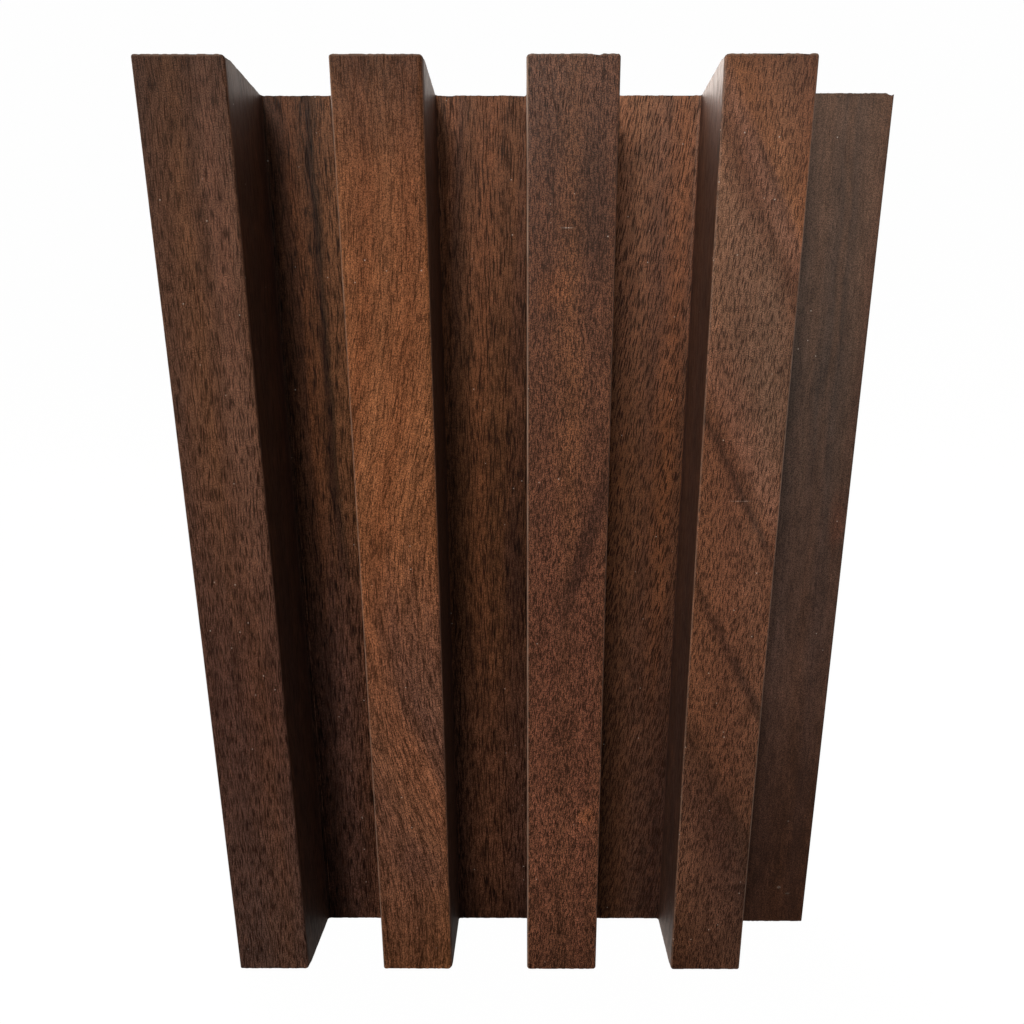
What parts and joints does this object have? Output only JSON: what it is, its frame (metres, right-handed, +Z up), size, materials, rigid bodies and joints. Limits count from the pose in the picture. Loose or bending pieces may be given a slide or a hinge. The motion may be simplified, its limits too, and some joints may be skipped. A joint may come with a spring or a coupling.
{
  "type": "fluted wall panel",
  "caption": "Short length of fluted walnut wall panel: square slats and channels, with a lap flange on one side and a rebate on the other.",
  "frame": {"origin": "middle of the lower sawn end, in the panel's width and thickness", "axes": "+Z up along the slats, +Y out of the flat back towards the wall, so the fluted front faces -Y; +X across the panel towards the lap flange"},
  "size_m": [0.15, 0.026, 0.203],
  "materials": {
    "walnut": "smooth walnut with a low satin finish"
  },
  "bodies": {
    "root": {"fluted_panel": "walnut"}
  },
  "joints": []
}
